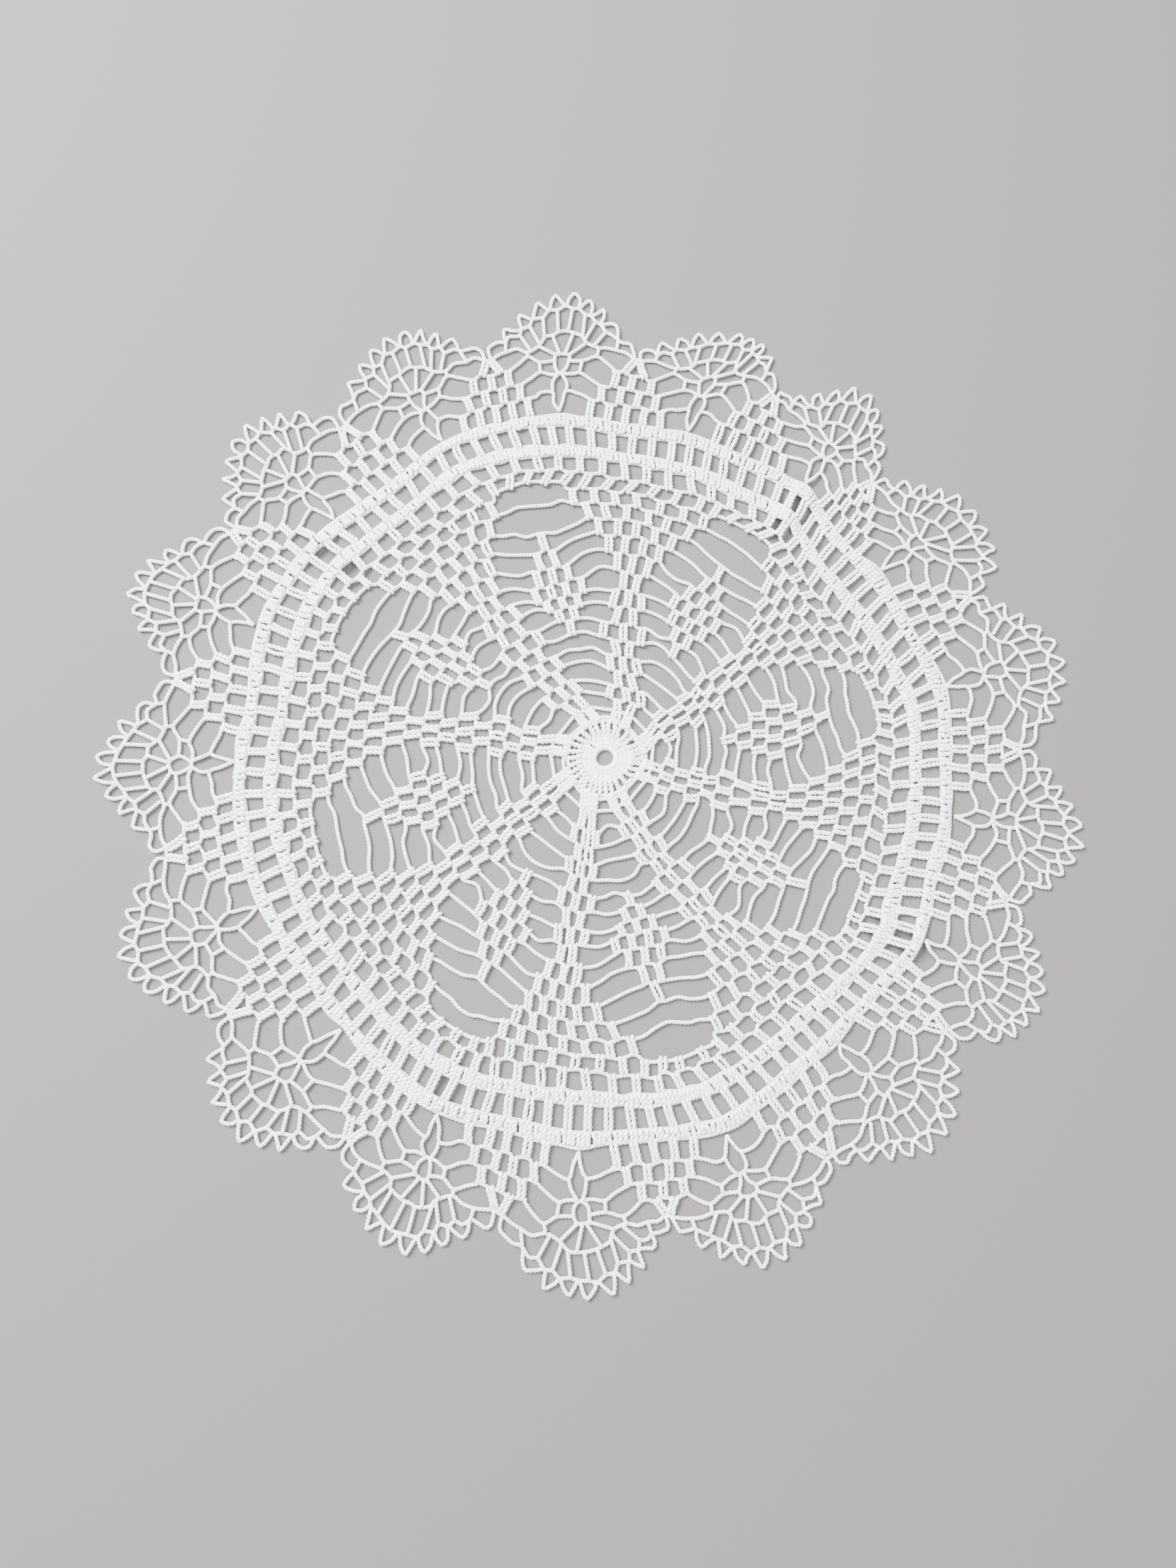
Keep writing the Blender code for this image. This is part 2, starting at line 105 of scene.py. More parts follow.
# The ladder's radius under each fan's foot, and under the dip at its right
LADDER_LAID = (
    (109.6, 108.4), (111.6, 113.0), (111.1, 109.8), (113.6, 112.9), (111.1, 107.9),
    (107.5, 106.7), (107.7, 102.1), (102.0, 103.3), (106.5, 104.8), (104.9, 104.7),
    (108.1, 106.5), (105.9, 108.4), (112.2, 111.0), (110.3, 110.8), (112.4, 111.4),
    (109.1, 108.2), (109.8, 110.4),
)
# The outermost pairs of a round on each spoke. Each line is one spoke, clockwise. Columns are
# left angle, left radius, right angle, right radius of the pair's middle.
SPOKES_LAID = {
    "D": ((141.0, 90.4, 113.2, 91.0), (96.2, 89.0, 67.2, 86.3), (49.8, 85.0, 20.8, 84.0),
          (3.7, 84.0, -23.5, 84.0), (-40.2, 87.0, -68.4, 89.5), (-85.1, 89.8, -110.8, 89.4),
          (-127.4, 89.4, -155.1, 89.8), (-172.9, 89.4, -201.4, 89.8)),
    "G": ((133.4, 73.6, 120.2, 73.6), (88.4, 72.2, 74.7, 70.7), (42.3, 66.9, 28.9, 67.3),
          (-6.0, 68.2, -18.9, 67.5), (-50.0, 70.2, -62.6, 70.7), (-95.2, 74.4, -106.5, 73.6),
          (-136.7, 73.2, -149.3, 72.0), (-181.8, 73.2, -195.1, 72.0)),
    "J": ((131.9, 55.8, 120.8, 56.0), (86.2, 53.4, 76.4, 53.0), (39.5, 51.1, 29.7, 50.7),
          (-10.1, 50.7, -19.4, 50.7), (-54.1, 54.0, -63.4, 54.8), (-96.8, 56.9, -105.3, 56.9),
          (-139.2, 55.2, -148.5, 55.7), (-185.4, 55.2, -194.3, 55.7)),
    "L": ((135.1, 44.4, 117.8, 44.4), (90.0, 42.3, 72.6, 41.9), (40.3, 40.2, 26.1, 40.2),
          (-7.2, 39.4, -23.4, 39.4), (-53.3, 42.3, -67.4, 44.0), (-95.6, 46.5, -108.2, 46.1),
          (-136.7, 44.8, -151.3, 44.4), (-184.2, 44.4, -197.6, 44.8)),
    "N": ((133.8, 34.9, 115.9, 34.3), (86.0, 31.5, 70.6, 31.5), (38.2, 32.3, 22.1, 32.7),
          (-8.4, 29.8, -24.6, 30.2), (-56.9, 32.3, -70.7, 33.2), (-96.0, 36.1, -108.6, 35.7),
          (-138.7, 34.8, -153.3, 34.8), (-183.0, 34.4, -201.6, 34.8)),
    "P": ((133.5, 24.3, 111.5, 24.8), (84.5, 21.9, 57.8, 22.4), (40.3, 22.3, 19.2, 22.7),
          (-4.6, 20.5, -30.9, 20.5), (-57.7, 22.8, -75.9, 24.0), (-96.0, 26.1, -112.2, 26.1),
          (-135.5, 24.0, -156.6, 25.2), (-181.4, 24.4, -200.8, 24.8)),
}
# Between spokes. Each line is one sector, clockwise from the first spoke. Columns are angle and
# radius of: arch | chain under the arch | diamond's tip | its left corner | right corner | foot.
SECTORS_LAID = (
    (104.5, 95.7, 105.0, 88.3, 105.5, 74.5, 112.1, 57.5, 97.0, 58.0, 103.4, 44.6),
    (58.0, 90.3, 59.5, 84.6, 58.0, 72.1, 66.4, 57.1, 50.0, 57.1, 56.7, 42.1),
    (10.4, 88.5, 12.0, 81.5, 11.1, 71.2, 18.1, 56.6, 1.0, 54.4, 8.8, 40.3),
    (-33.8, 90.7, -31.5, 85.6, -33.6, 71.6, -28.8, 57.1, -43.2, 56.2, -37.5, 43.0),
    (-77.8, 94.4, -76.0, 87.3, -78.0, 74.4, -71.9, 58.5, -86.9, 58.9, -80.9, 45.3),
    (-118.4, 94.8, -118.7, 89.9, -119.3, 76.2, -114.3, 60.7, -129.6, 61.2, -122.6, 45.3),
    (-164.6, 93.0, -164.0, 87.6, -165.7, 74.4, -158.8, 58.5, -174.1, 58.9, -167.1, 43.9),
    (-210.6, 95.7, -209.5, 88.2, -211.7, 76.6, -204.9, 62.5, -219.6, 59.8, -212.4, 45.3),
)
# The middle has turned clockwise in the pull: radius, and by how much at each spoke, in degrees
SWIRL_RADIUS = 12.0
SWIRL = (20.0, 17.0, 20.0, 8.0, 22.0, 15.0, 9.0, 12.0)

# Puckers, where the cloth stands up in a low radial ridge:
# angle, from radius, to radius, height, half width
PUCKERS = (
    (142.6, 100.0, 122.0, 2.2, 4.0),
    (53.0, 94.0, 118.0, 2.0, 4.5),
    (-32.0, 97.0, 118.0, 2.2, 4.5),
    (-116.0, 104.0, 121.0, 1.2, 4.0),
)
PUCKER_END = 1.5            # how gently each ridge starts and ends, along its radius


def place(angle, radius):
    """Return the complex place at an angle and a radius."""
    return radius * np.exp(1j * np.radians(angle))


def spread(count, pitch, radius):
    """Return angles, clockwise, of places a pitch apart about a middle."""
    steps = np.arange(count) - (count - 1) / 2
    return -np.degrees(steps * pitch / radius)


def spoke_angle(spoke):
    """Return the angle of a spoke's middle, counted clockwise."""
    return FIRST_SPOKE - SECTOR * spoke


def sector_angle(sector):
    """Return the angle of the middle between a spoke and the next."""
    return spoke_angle(sector) - SECTOR / 2


def pairs_on(name, kind, number):
    """Return foot and top places of a round's pairs, on a spoke or on the diamond of a sector."""
    column = 0 if kind == "spoke" else 1
    middle = spoke_angle(number) if kind == "spoke" else sector_angle(number)
    this_round, below = ROUNDS[name], ROUNDS[ROUND_BELOW[name]]
    count, pitch = this_round[2 + 2 * column], this_round[3 + 2 * column]
    radius = this_round[column]
    low_radius, low_pitch = below[column], below[3 + 2 * column]
    return (
        place(middle + spread(count, low_pitch, low_radius), low_radius),
        place(middle + spread(count, pitch, radius), radius),
    )


def charted_and_laid():
    """Return matching arrays of charted places and of the places where they really lie."""
    charted, laid = [], []

    def match(even, angle, radius):
        charted.append(even)
        laid.append(place(angle, radius))

    feet = [fan[0] for fan in FANS_LAID]
    next_feet = feet[1:] + [feet[0] - FULL_TURN]
    for fan, (row, ladder) in enumerate(zip(FANS_LAID, LADDER_LAID)):
        middle = FIRST_FAN - FAN_PITCH * fan
        for number, (turn, height) in enumerate(FAN_MARKS):
            match(place(middle - turn, BAND_EDGE + height), row[2 * number], row[2 * number + 1])
        match(place(middle, LADDER_MIDDLE), feet[fan], ladder[0])
        between = (feet[fan] + next_feet[fan]) / 2
        match(place(middle - FAN_PITCH / 2, LADDER_MIDDLE), between, ladder[1])
    for name, spokes in SPOKES_LAID.items():
        for spoke, row in enumerate(spokes):
            foot, top = pairs_on(name, "spoke", spoke)
            for side in (0, -1):
                match((foot[side] + top[side]) / 2, row[2 * side], row[2 * side + 1])
    # Of a diamond's tip, left corner, right corner and foot: round, side of it, column
    corners = (("F", 0, 4), ("I", 0, 6), ("I", -1, 8), ("L", 0, 10))
    for sector, row in enumerate(SECTORS_LAID):
        match(place(sector_angle(sector), ROUNDS["D"][1]), row[0], row[1])
        match(place(sector_angle(sector), ROUNDS["E"][1]), row[2], row[3])
        for name, side, column in corners:
            foot, top = pairs_on(name, "diamond", sector)
            match((foot[side] + top[side]) / 2, row[column], row[column + 1])
    for spoke, turn in enumerate(SWIRL):
        match(place(spoke_angle(spoke), SWIRL_RADIUS), spoke_angle(spoke) - turn, SWIRL_RADIUS)
    match(0j, 0.0, 0.0)
    return np.array(charted), np.array(laid)


LEAST_DISTANCE = 1e-9       # keeps the logarithm of no distance finite


def plate_kernel(distance):
    """Return the bending term of a thin plate: distance squared times its logarithm."""
    return distance ** 2 * np.log(np.maximum(distance, LEAST_DISTANCE))


def plate_weights(charted, laid):
    """Return the weights of the thin plate that carries the charted places to the laid ones."""
    count = len(charted)
    flat = np.stack([np.ones(count), charted.real, charted.imag], axis=1)
    system = np.zeros((count + 3, count + 3))
    system[:count, :count] = plate_kernel(np.abs(charted[:, None] - charted[None, :]))
    system[:count, count:] = flat
    system[count:, :count] = flat.T
    return np.linalg.solve(system, np.concatenate([laid - charted, np.zeros(3)]))


CHARTED, LAID = charted_and_laid()
WEIGHTS = plate_weights(CHARTED, LAID)
PLACES_AT_ONCE = 4000
UNEVEN = 0.4                # how far one stitch pulls its neighbours out of line
FIRM = 14.0                 # the middle, out to about here, is too firm to be pulled
# The waves of that pull in x, then those in y: radians per millimetre of x, per millimetre of y,
# and where each wave starts
PULL_WAVES = (((0.83, 1.07, 0.0), (1.31, -0.57, 2.0)), ((-0.71, 0.97, 2.0), (0.64, 1.23, 4.0)))
PULL_CREST = 1.5            # two such waves together seldom pass this


def lay(places):
    """Carry charted places to where they lie, in millimetres from the frame's origin.

    A place moves as a thin plate bends through the laid places, and then by a small wave in x
    and in y, of about a stitch's length, for the pull of one stitch on the next. The wave fades
    out towards the firm middle.
    """
    flat = np.asarray(places).ravel()
    count = len(CHARTED)
    moved = flat + WEIGHTS[count] + WEIGHTS[count + 1] * flat.real + WEIGHTS[count + 2] * flat.imag
    for start in range(0, len(flat), PLACES_AT_ONCE):
        part = slice(start, start + PLACES_AT_ONCE)
        moved[part] += plate_kernel(np.abs(flat[part, None] - CHARTED[None, :])) @ WEIGHTS[:count]
    across, up = (
        sum(np.sin(by_x * moved.real + by_y * moved.imag + begin) for by_x, by_y, begin in waves)
        for waves in PULL_WAVES
    )
    pull = UNEVEN * np.tanh((np.abs(moved) / FIRM) ** 2)
    return (moved + pull * (across + 1j * up) / PULL_CREST + RING_AT).reshape(np.shape(places))


def pucker_height(places):
    """Return how high the puckers hold the cloth: a bell across each ridge, level along it, with
    an S-shaped fade at either end.
    """
    height = np.zeros(np.shape(places))
    for angle, start, end, top, half_width in PUCKERS:
        turned = (places - RING_AT) * place(-angle, 1.0)
        across = np.exp(-(turned.imag / half_width) ** 2)
        begun = 1 / (1 + np.exp((start - turned.real) / PUCKER_END))
        going_on = 1 / (1 + np.exp((turned.real - end) / PUCKER_END))
        height += top * across * begun * going_on
    return height


STRETCH_CUTS = 8            # how finely a cubic is cut between two of its points
LEAST_STEP = 1e-6           # keeps the knots of two like points apart


def smooth_line(points, closed):
    """Carry a cubic through each line of points, with centripetal Catmull-Rom slopes.

    points is lines by points by (x, y, z). The knots lie apart by the square roots of the steps.
    """
    if closed:
        ends = np.concatenate([points[:, -1:], points, points[:, :2]], axis=1)
    else:
        before = 2 * points[:, :1] - points[:, 1:2]
        after = 2 * points[:, -1:] - points[:, -2:-1]
        ends = np.concatenate([before, points, after], axis=1)
    steps = np.diff(ends, axis=1)
    knots = np.sqrt(np.linalg.norm(steps, axis=2, keepdims=True)) + LEAST_STEP
    first, middle, last = knots[:, :-2], knots[:, 1:-1], knots[:, 2:]
    start, finish = ends[:, 1:-2], ends[:, 2:-1]
    run = finish - start
    chord_in, chord_out = finish - ends[:, :-3], ends[:, 3:] - start
    lead_in = run + middle * (steps[:, :-2] / first - chord_in / (first + middle))
    lead_out = run + middle * (steps[:, 2:] / last - chord_out / (middle + last))
    t = (np.arange(STRETCH_CUTS) / STRETCH_CUTS)[:, None]
    blend = [
        term[:, :, None] * weight
        for term, weight in (
            (start, 2 * t ** 3 - 3 * t ** 2 + 1),
            (lead_in, t ** 3 - 2 * t ** 2 + t),
            (finish, 3 * t ** 2 - 2 * t ** 3),
            (lead_out, t ** 3 - t ** 2),
        )
    ]
    line = sum(blend).reshape(len(points), -1, 3)
    return np.concatenate([line, line[:, :1] if closed else points[:, -1:]], axis=1)


def even_steps(line, stations):
    """Cut each line into steps of even length by reading x, y and z off against its length."""
    lengths = np.linalg.norm(np.diff(line, axis=1), axis=2)
    along = np.concatenate([np.zeros((len(line), 1)), np.cumsum(lengths, axis=1)], axis=1)
    cut = np.empty((len(line), stations, 3))
    for number, (at, points) in enumerate(zip(along, line)):
        wanted = np.linspace(0, at[-1], stations)
        for axis in range(3):
            cut[number, :, axis] = np.interp(wanted, at, points[:, axis])
    return cut


SWELL = 0.22                # how far the strands stand out of a cord, as a share of its half width


def cord_surface(line, half, sides, twist, closed=False, swell=SWELL, plaited=False):
    """Wrap a cord round each line and return its places, faces, caps and UVs.

    At a length s along the line and an angle t round it, the surface stands off the line by
    half times (1 + swell * cos(2 (t - 2 pi s / twist))): an oval that turns as it goes along,
    once in the length of the twist. In a plaited cord t is twice the angle from the top, down
    either side alike, so the strands meet on the top in a row of Vs. U is s over the twist and V
    is t over a full turn. A closed line repeats its first station at its end, and has a whole
    number of twists.
    """
    steps = np.linalg.norm(np.diff(line, axis=1), axis=2)
    along = np.concatenate([np.zeros((len(line), 1)), np.cumsum(steps, axis=1)], axis=1) / twist
    if closed:
        along *= np.round(along[:, -1:]) / along[:, -1:]
        ahead = np.concatenate([line[:, 1:], line[:, 1:2]], axis=1)
        behind = np.concatenate([line[:, -2:-1], line[:, :-1]], axis=1)
        way = ahead - behind
    else:
        way = np.gradient(line, axis=1)
    way /= np.linalg.norm(way, axis=2, keepdims=True)
    left = np.stack([-way[..., 1], way[..., 0], np.zeros(way.shape[:2])], axis=2)
    left /= np.linalg.norm(left, axis=2, keepdims=True)
    up = np.cross(way, left)
    wound = (np.arange(sides + 1) + (0.5 if plaited else 0.0)) / sides
    round_it = 2 * np.pi * wound[:-1]
    if plaited:
        wound = 2 * np.abs((wound + 0.25) % 1 - 0.5)
    off = 1 + swell * np.cos(4 * np.pi * (wound[:-1] - along[..., None]))
    off = off * np.broadcast_to(half, along.shape)[..., None]
    places = line[:, :, None] + off[..., None] * (
        np.cos(round_it)[:, None] * left[:, :, None] + np.sin(round_it)[:, None] * up[:, :, None]
    )
    if closed:
        places = places[:, :-1]
    count, stations = places.shape[:2]
    grid = np.arange(count * stations * sides).reshape(count, stations, sides)
    caps = np.empty((0, sides), int) if closed else np.concatenate([grid[:, 0, ::-1], grid[:, -1]])
    if closed:
        grid = np.concatenate([grid, grid[:, :1]], axis=1)
    grid = np.concatenate([grid, grid[:, :, :1]], axis=2)
    map_u, map_v = np.broadcast_arrays(along[..., None], wound)
    uvs = np.stack([map_u, map_v], axis=-1)
    quads, quad_uvs = (
        np.stack([net[:, :-1, :-1], net[:, :-1, 1:], net[:, 1:, 1:], net[:, 1:, :-1]], axis=3)
        for net in (grid, uvs)
    )
    return places.reshape(-1, 3), quads.reshape(-1, 4), caps, quad_uvs.reshape(-1, 2)


CHAIN_HALF = 0.6            # half its width, in millimetres
CHAIN_SIDES = 6
CHAIN_STEP = 0.36           # from one station along it to the next, and no cord has fewer than
LEAST_STATIONS = 4          # this many stations
CHAIN_TWIST = 2.3           # the length of two stitches of chain, each a V


def chain(points, closed=False, rise=0.0, half=CHAIN_HALF, slack=None):
    """Return plaited cords along charted lines of places: laid, smoothed, cut into even steps.

    Each lies with its underside on the floor, higher by its rise and by the puckers. slack is
    how far each place hangs out of line, after laying.
    """
    laid = lay(np.atleast_2d(points))
    if slack is not None:
        laid = laid + slack
    resting = CHAIN_HALF * (1 + SWELL)
    height = pucker_height(laid) + resting + rise
    line = smooth_line(np.stack([laid.real, laid.imag, height], axis=2), closed)
    line[..., 2] = np.maximum(line[..., 2], resting)
    length = np.linalg.norm(np.diff(line, axis=1), axis=2).sum(axis=1).mean()
    line = even_steps(line, max(LEAST_STATIONS, int(length / CHAIN_STEP) + 1))
    return cord_surface(line, half, CHAIN_SIDES, CHAIN_TWIST, closed, plaited=True)


STITCH_HALF = 0.7
STITCH_SIDES = 5
STITCH_STATIONS = 12
STITCH_TWIST = 2.9
PAIR = (-0.71, 0.71)        # how far the two stitches of a pair stand off its middle line
BOW = 0.15                  # how far a stitch bows out of straight
# Along a stitch: into the chain below, clear of it, short of the chain above, and into that
ROOT, CLEAR, SHORT, TIP = 0.2, 0.45, 0.5, 0.05
STITCH_HEIGHTS = (0.2, 0.6, 0.3, 0.25, 0.1)     # over its own half width, from foot to top
STITCH_TAPER = ((0.0, 0.1, 0.9, 1.0), (0.7, 1.0, 1.0, 0.75))    # along it, and how full it is
chance = np.random.default_rng(17)


def tall_stitches(
    foot, top, offsets=PAIR, half=STITCH_HALF, stations=STITCH_STATIONS, swell=SWELL
):
    """Return stitches side by side from each charted foot to each charted top.

    Each stands off the middle line by one of the offsets. It starts in the chain below, rises
    over it, bows a little by chance, and ends in the chain above.
    """
    foot, top = lay(foot), lay(top)
    way = (top - foot) / np.abs(top - foot)
    lines = []
    for offset in offsets:
        bow = chance.normal(0.0, BOW, len(foot))
        beside = 1j * way * offset
        lines.append(np.stack([
            foot - way * ROOT + beside,
            foot + way * CLEAR + beside,
            (foot + top) / 2 + beside + 1j * way * bow,
            top - way * SHORT + beside,
            top - way * TIP + beside,
        ], axis=1))
    laid = np.concatenate(lines)
    height = pucker_height(laid) + np.max(half) + np.array(STITCH_HEIGHTS)
    line = smooth_line(np.stack([laid.real, laid.imag, height], axis=2), False)
    line = even_steps(line, stations)
    taper = np.interp(np.linspace(0, 1, stations), *STITCH_TAPER)
    return cord_surface(line, half * taper, STITCH_SIDES, STITCH_TWIST, swell=swell)


PLIES = 7.0                 # fine plies to each turn of a strand
PLY_DEPTH, SEAM_DEPTH = 0.3, 1.6    # in the relief, beside the fuzz's depth of 1
SEAM_SHADOW_SHARE = 0.85           # how much of the painted shade shows in a seam, for the shade between the strands
# Places on the colour ramp, with the white there
WHITES = ((0.3, (0.86, 0.875, 0.89, 1.0)), (0.7, (0.92, 0.93, 0.94, 1.0)))


def crochet_cotton():
    """Return matt white mercerised cotton: its strands wind round the cord, with painted shade
    in the seams between them.

    A seam lies where the oval is narrowest, at half turns of V less U. It is sunk in the relief,
    and its colour is mixed towards a bluish grey as painted shade. Fine plies run across.
    """
    material = bpy.data.materials.new("white crochet cotton")
    material.use_nodes = True
    nodes, links = material.node_tree.nodes, material.node_tree.links
    shader = nodes["Principled BSDF"]
    shader.inputs["Roughness"].default_value = 0.78
    shader.inputs["Sheen Weight"].default_value = 0.12
    shader.inputs["Sheen Roughness"].default_value = 0.5

    def worked_out(operation, *terms):
        """Return the socket of one sum, with each term a socket or a number."""
        sum_node = nodes.new("ShaderNodeMath")
        sum_node.operation = operation
        for slot, term in zip(sum_node.inputs, terms):
            if isinstance(term, (int, float)):
                slot.default_value = term
            else:
                links.new(term, slot)
        return sum_node.outputs["Value"]

    cord_map = nodes.new("ShaderNodeUVMap")
    cord_map.uv_map = "cord"
    apart = nodes.new("ShaderNodeSeparateXYZ")
    links.new(cord_map.outputs["UV"], apart.inputs["Vector"])
    along, around = apart.outputs["X"], apart.outputs["Y"]
    turned = worked_out("MULTIPLY", worked_out("SUBTRACT", around, along), 4 * np.pi)
    crown = worked_out("COSINE", turned)
    seam = nodes.new("ShaderNodeMapRange")
    seam.interpolation_type = "SMOOTHSTEP"
    seam.inputs["From Min"].default_value = -0.45
    seam.inputs["From Max"].default_value = -1.0
    links.new(crown, seam.inputs["Value"])
    sunk = seam.outputs["Result"]
    ply_turns = worked_out("MULTIPLY_ADD", along, PLIES, around)
    ply = worked_out("SINE", worked_out("MULTIPLY", ply_turns, 2 * np.pi))

    spot = nodes.new("ShaderNodeTexCoord")
    fuzz = nodes.new("ShaderNodeTexNoise")
    fuzz.inputs["Scale"].default_value = 2600.0
    fuzz.inputs["Detail"].default_value = 3.0
    links.new(spot.outputs["Object"], fuzz.inputs["Vector"])
    relief = worked_out("MULTIPLY_ADD", ply, PLY_DEPTH, fuzz.outputs["Fac"])
    bump = nodes.new("ShaderNodeBump")
    bump.inputs["Strength"].default_value = 0.7
    bump.inputs["Distance"].default_value = 0.0001
    links.new(worked_out("MULTIPLY_ADD", sunk, -SEAM_DEPTH, relief), bump.inputs["Height"])
    links.new(bump.outputs["Normal"], shader.inputs["Normal"])

    wash = nodes.new("ShaderNodeTexNoise")
    wash.inputs["Scale"].default_value = 55.0
    links.new(spot.outputs["Object"], wash.inputs["Vector"])
    white = nodes.new("ShaderNodeValToRGB")
    for stop, (at, shade) in zip(white.color_ramp.elements, WHITES):
        stop.position, stop.color = at, shade
    links.new(wash.outputs["Fac"], white.inputs["Fac"])
    shaded = nodes.new("ShaderNodeMix")
    shaded.data_type = "RGBA"
    # A mix node keeps sockets for every kind of value: these are the ones for colours
    factor, crown_colour, seam_shadow_colour = (shaded.inputs[number] for number in (0, 6, 7))
    mixed = shaded.outputs[2]
    # Painted shade: the seams are mixed towards this bluish grey, for the shade that falls between
    # the strands
    seam_shadow_colour.default_value = (0.34, 0.37, 0.42, 1.0)
    links.new(worked_out("MULTIPLY", sunk, SEAM_SHADOW_SHARE), factor)
    links.new(white.outputs["Color"], crown_colour)
    links.new(mixed, shader.inputs["Base Color"])
    return material


COTTON = crochet_cotton()


def crocheted(name, surfaces):
    """Join cord surfaces into one mesh object, in metres, with its cord map and the cotton."""
    starts = np.cumsum([0] + [len(surface[0]) for surface in surfaces])
    places = np.concatenate([surface[0] for surface in surfaces]) * MM
    quads = np.concatenate([surface[1] + start for surface, start in zip(surfaces, starts)])
    caps = [surface[2] + start for surface, start in zip(surfaces, starts)]
    corners = np.concatenate([quads.ravel()] + [cap.ravel() for cap in caps])
    sizes = np.concatenate([np.full(len(quads), 4)] + [np.full(*cap.shape) for cap in caps])
    uvs = np.zeros((len(corners), 2))
    uvs[:quads.size] = np.concatenate([surface[3] for surface in surfaces])
    mesh = bpy.data.meshes.new(name)
    mesh.vertices.add(len(places))
    mesh.vertices.foreach_set("co", places.ravel())
    mesh.loops.add(len(corners))
    mesh.loops.foreach_set("vertex_index", corners)
    mesh.polygons.add(len(sizes))
    mesh.polygons.foreach_set("loop_start", np.concatenate([[0], np.cumsum(sizes)[:-1]]))
    mesh.polygons.foreach_set("use_smooth", np.ones(len(sizes), bool))
    mesh.update(calc_edges=True)
    mesh.uv_layers.new(name="cord").data.foreach_set("uv", uvs.ravel())
    mesh.materials.append(COTTON)
    piece = bpy.data.objects.new(name, mesh)
    bpy.context.scene.collection.objects.link(piece)
    return piece


RING_RADIUS, RING_HALF, RING_CORNERS = 2.98, 0.5, 12
FIRST_ROUND_STITCHES, FIRST_ROUND_TOP = 48, 7.75
FIRST_ROUND_HALVES = np.linspace(0.4, 0.7, STITCH_STATIONS)     # slimmer at the crowded foot
SECOND_ROUND_STITCHES, SECOND_ROUND_TOP, SECOND_ROUND_HALF = 32, 11.8, 0.78
NEXT_RING = 1.1             # from the second round's chain to the ring of chain outside it
THIRD_ROUND_SPREAD = 9.5    # degrees from a spoke to the foot of its stitches
THIRD_ROUND_OFFSETS = (-0.95, 0.0, 0.95)


def whole_ring(radius, corners=48):
    """Return a closed ring of places, evenly spaced and clockwise."""
    return place(-np.arange(corners) * FULL_TURN / corners, radius)


def round_of_stitches(count, low, high, **looks):
    """Return a full round of single stitches between two radii."""
    angles = -np.arange(count) * FULL_TURN / count
    return tall_stitches(place(angles, low), place(angles, high), offsets=(0.0,), **looks)


third_top, _, third_count, third_pitch = ROUNDS["R"][:4]
third_feet, third_tops = [], []
for spoke in range(SPOKES):
    sides = np.array([1, -1]) * THIRD_ROUND_SPREAD
    third_feet.append(place(spoke_angle(spoke) + sides, SECOND_ROUND_TOP))
    gathered = spread(third_count, third_pitch, third_top)
    third_tops.append(place(spoke_angle(spoke) + gathered, third_top))
middle = crocheted("middle_rounds", [
    chain(whole_ring(RING_RADIUS, RING_CORNERS), closed=True, half=RING_HALF),
    round_of_stitches(
        FIRST_ROUND_STITCHES, RING_RADIUS, FIRST_ROUND_TOP, half=FIRST_ROUND_HALVES
    ),
    chain(whole_ring(FIRST_ROUND_TOP), closed=True),
    round_of_stitches(
        SECOND_ROUND_STITCHES, FIRST_ROUND_TOP, SECOND_ROUND_TOP, half=SECOND_ROUND_HALF
    ),
    chain(whole_ring(SECOND_ROUND_TOP), closed=True),
    chain(whole_ring(SECOND_ROUND_TOP + NEXT_RING), closed=True),
    tall_stitches(
        np.concatenate(third_feet), np.concatenate(third_tops), offsets=THIRD_ROUND_OFFSETS
    ),
])
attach(middle, "root")
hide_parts("lace_doily")

# -------------------------------------------------------------------------------------------------
# The wheel. Fourteen rounds of paired tall stitches with loops of chain between: eight spokes
# that widen into wedges, and a diamond of pairs between each two. The free chains between them
# hang a little slack, so no two lie quite alike.
# -------------------------------------------------------------------------------------------------
CORNER = 1.35               # from a pair's middle to where the chain leaves it
PULL_OUT = 0.65             # how far a stitch pulls the chain that it is worked into
FREE_CHAIN = 6.5            # a stretch of chain longer than this hangs free
FREE_STEP = 3.6             # from one place put into a free chain to the next
SAG, SLACK = 0.8, 0.16      # how far free chains hang out of line, in their run and at each place
ARCH_FEET = np.array([0.09, 0.27, 0.46, 0.67, 0.89])    # feet along each arch, as shares of it
ARCH_BEND = 0.7             # below 1, an arch is flat on top and steep at its ends


def swing(angle):
    """Return 0 on a spoke and 1 midway to the next: half of 1 less the cosine of the angle from
    the first spoke, taken as many times as there are spokes.
    """
    return 0.5 - 0.5 * np.cos(np.radians(SPOKES * (angle - FIRST_SPOKE)))


def level_between(name, angle):
    """Return a round's ring radius at an angle, which swings from spoke level to sector level."""
    on_spoke, between = ROUNDS[name][:2]
    return on_spoke + (between - on_spoke) * swing(angle)


def feet_above(name):
    """Return angles and radii, on a round's ring, of the feet of the pairs worked into it."""
    on_spoke, between, count, pitch, diamond, diamond_pitch = ROUNDS[name]
    angles, radii = [], []
    for number in range(SPOKES):
        if name in ROUND_ABOVE:
            above = ROUNDS[ROUND_ABOVE[name]]
            angles += [spoke_angle(number) + spread(above[2], pitch, on_spoke)]
            angles += [sector_angle(number) + spread(above[4], diamond_pitch, between)]
            radii += [np.full(above[2], on_spoke), np.full(above[4], between)]
        else:
            wedge = np.degrees((count - 1) / 2 * pitch / on_spoke)
            angles += [spoke_angle(number) + spread(count - 1, pitch, on_spoke)]
            angles += [spoke_angle(number) - wedge - (SECTOR - 2 * wedge) * ARCH_FEET]
            radii += [np.full(count - 1, on_spoke)]
            radii += [on_spoke + (between - on_spoke) * np.sin(np.pi * ARCH_FEET) ** ARCH_BEND]
    return np.concatenate(angles), np.concatenate(radii)


